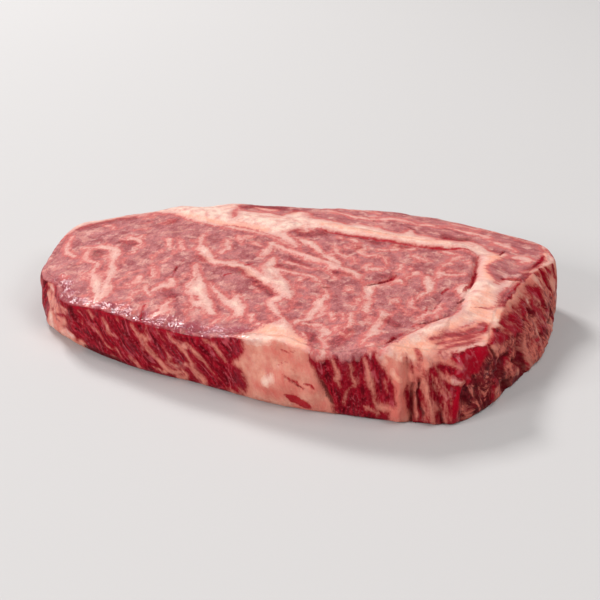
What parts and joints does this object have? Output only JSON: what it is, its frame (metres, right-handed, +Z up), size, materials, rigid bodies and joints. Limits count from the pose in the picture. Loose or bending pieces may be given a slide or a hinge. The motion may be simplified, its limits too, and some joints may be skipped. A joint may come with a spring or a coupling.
{
  "type": "raw rib-eye beef steak",
  "caption": "Thick raw boneless rib-eye steak lying flat: marbled lean with fat seams on top, a raised fat band at one end and fibrous sides.",
  "frame": {"origin": "on the underside, in the middle of the steak's plan box", "axes": "+X along the steak towards its broad end with the fat band, +Y towards the back edge, +Z up out of the upper cut face"},
  "size_m": [0.2002, 0.128, 0.0278],
  "materials": {
    "meat": "raw beef: moist mauve-pink lean marbled with cream fat, crimson on the sides"
  },
  "bodies": {
    "root": {"steak": "meat"}
  },
  "joints": []
}
